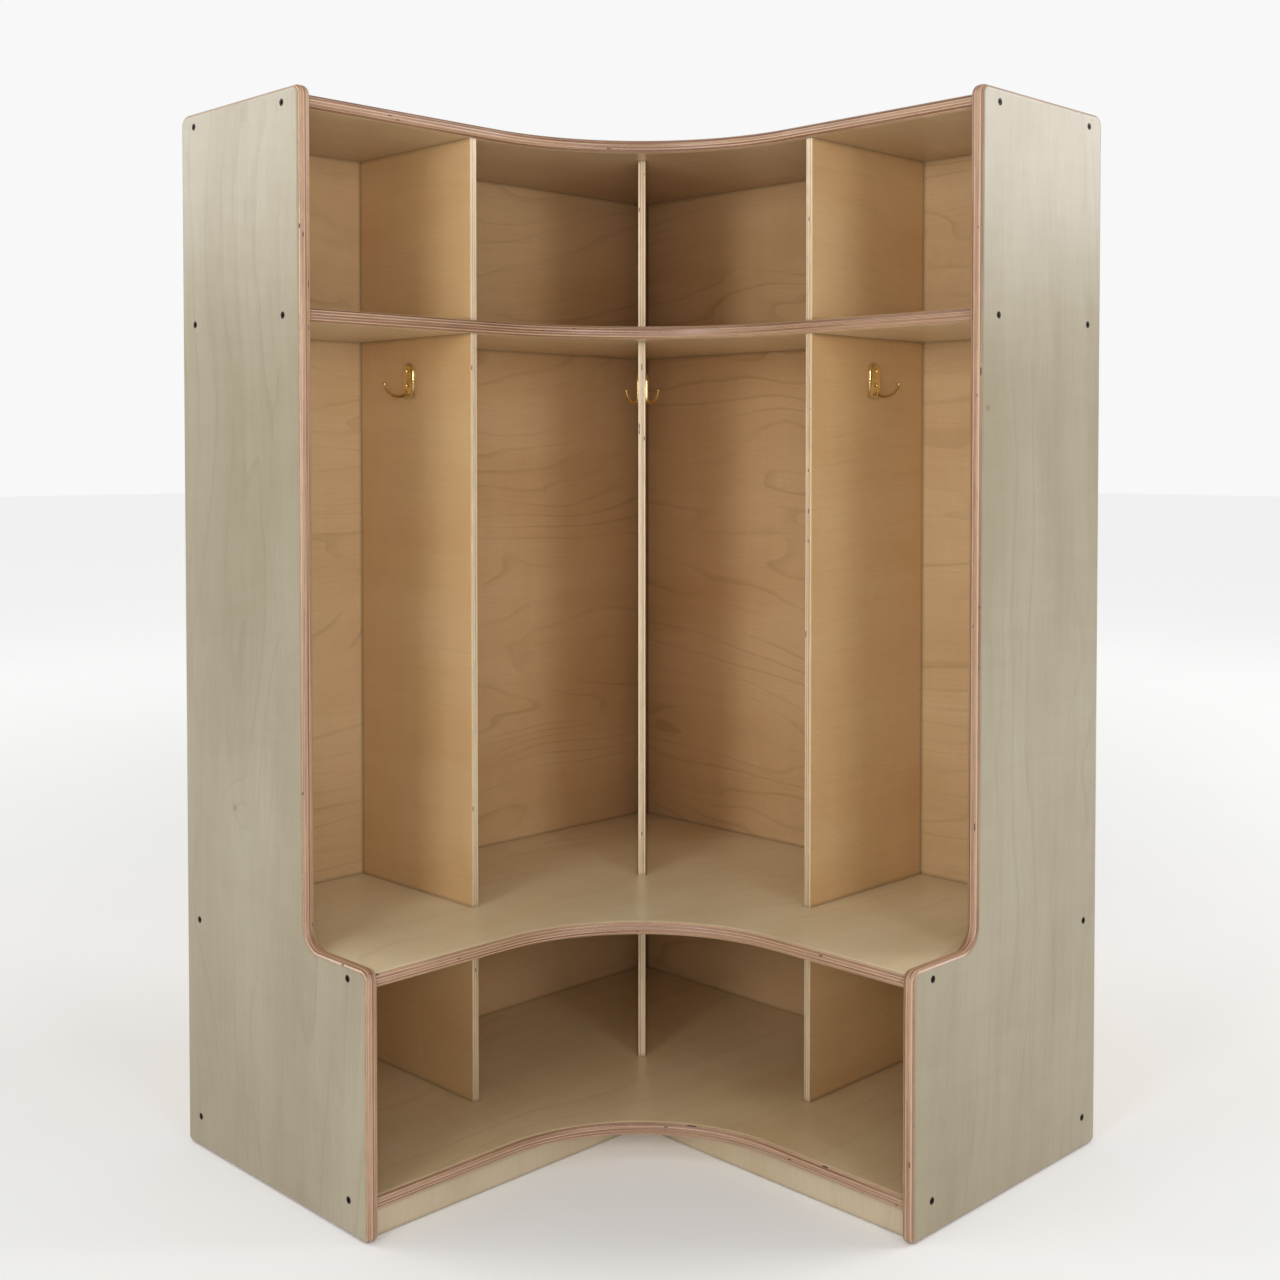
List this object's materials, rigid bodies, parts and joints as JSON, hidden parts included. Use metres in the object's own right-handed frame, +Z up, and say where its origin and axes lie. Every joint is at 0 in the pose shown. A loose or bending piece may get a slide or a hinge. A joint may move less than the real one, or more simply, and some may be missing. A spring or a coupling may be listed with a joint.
{
  "type": "corner coat locker",
  "caption": "Open-fronted plywood corner coat locker for small children, with a bench, hooks for coats, high cubbies and shoe bays, and hollow-curved shelves.",
  "frame": {"origin": "middle of the square that the two wings span on the floor, floor at z = 0", "axes": "+Z up; the walls are towards +Y (behind the right wing) and -X (behind the left wing); the room is towards +X and -Y, so the unit faces along (1, -1, 0)"},
  "size_m": [0.768, 0.768, 1.219],
  "materials": {
    "birch_panel": "15.9 mm birch plywood, vertical grain, clear satin lacquer, rounded ply edges",
    "birch_thin_panel": "9.5 mm birch plywood, horizontal grain, clear satin lacquer",
    "birch_board": "15.9 mm birch plywood, clear satin lacquer, rounded ply edges",
    "birch_divider": "9.5 mm birch plywood, vertical grain, clear satin lacquer, square ply edges",
    "brass": "polished brass plate",
    "black_steel": "black oxide",
    "zinc_steel": "bright zinc plate"
  },
  "bodies": {
    "root": {"side_panel_left": "birch_panel", "side_panel_right": "birch_panel", "back_panel_left": "birch_thin_panel", "back_panel_right": "birch_thin_panel", "top_board": "birch_board", "upper_shelf": "birch_board", "bench_seat": "birch_board", "bottom_shelf": "birch_board", "base_board_left": "birch_panel", "base_board_right": "birch_panel", "upper_divider_left": "birch_divider", "upper_divider_centre": "birch_divider", "upper_divider_right": "birch_divider", "locker_divider_left": "birch_divider", "locker_divider_centre": "birch_divider", "locker_divider_right": "birch_divider", "lower_divider_left": "birch_divider", "lower_divider_centre": "birch_divider", "lower_divider_right": "birch_divider", "coat_hook_left": "brass", "coat_hook_centre_left": "brass", "coat_hook_centre_right": "brass", "coat_hook_right": "brass", "hook_screws": "brass", "panel_screws_left": "black_steel", "panel_screws_right": "black_steel", "back_screws_left": "zinc_steel", "back_screws_right": "zinc_steel"}
  },
  "joints": []
}
